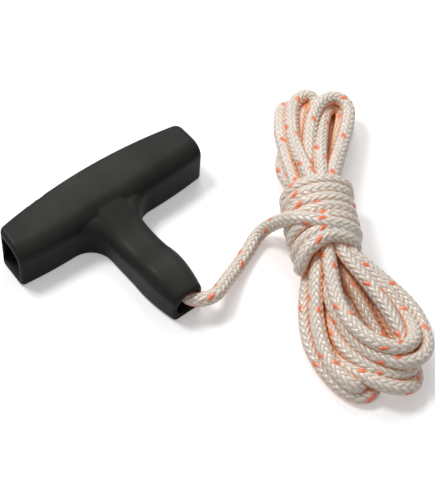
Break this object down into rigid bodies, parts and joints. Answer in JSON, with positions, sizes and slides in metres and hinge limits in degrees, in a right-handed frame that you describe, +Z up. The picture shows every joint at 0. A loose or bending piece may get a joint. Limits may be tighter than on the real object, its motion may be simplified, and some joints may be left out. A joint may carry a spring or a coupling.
{
  "type": "starter rope",
  "caption": "Engine starter rope: a hollow T-shaped grip with a round-mouthed stem, and a braided cord knotted inside it and wound into a tied hank.",
  "frame": {"origin": "on the flat underside that the handle rests on, below the stem's axis and midway between the mouth and the bow of the palm side", "axes": "+X along the crossbar, +Y from the stem's mouth towards the palm side, +Z up from the underside"},
  "size_m": [0.1386, 0.1245, 0.022],
  "materials": {
    "handle": "satin black moulding",
    "rope": "off-white braid with orange tracer"
  },
  "bodies": {
    "root": {"handle": "handle", "rope_knot": "rope", "rope_lead": "rope", "rope_hank": "rope"}
  },
  "joints": []
}
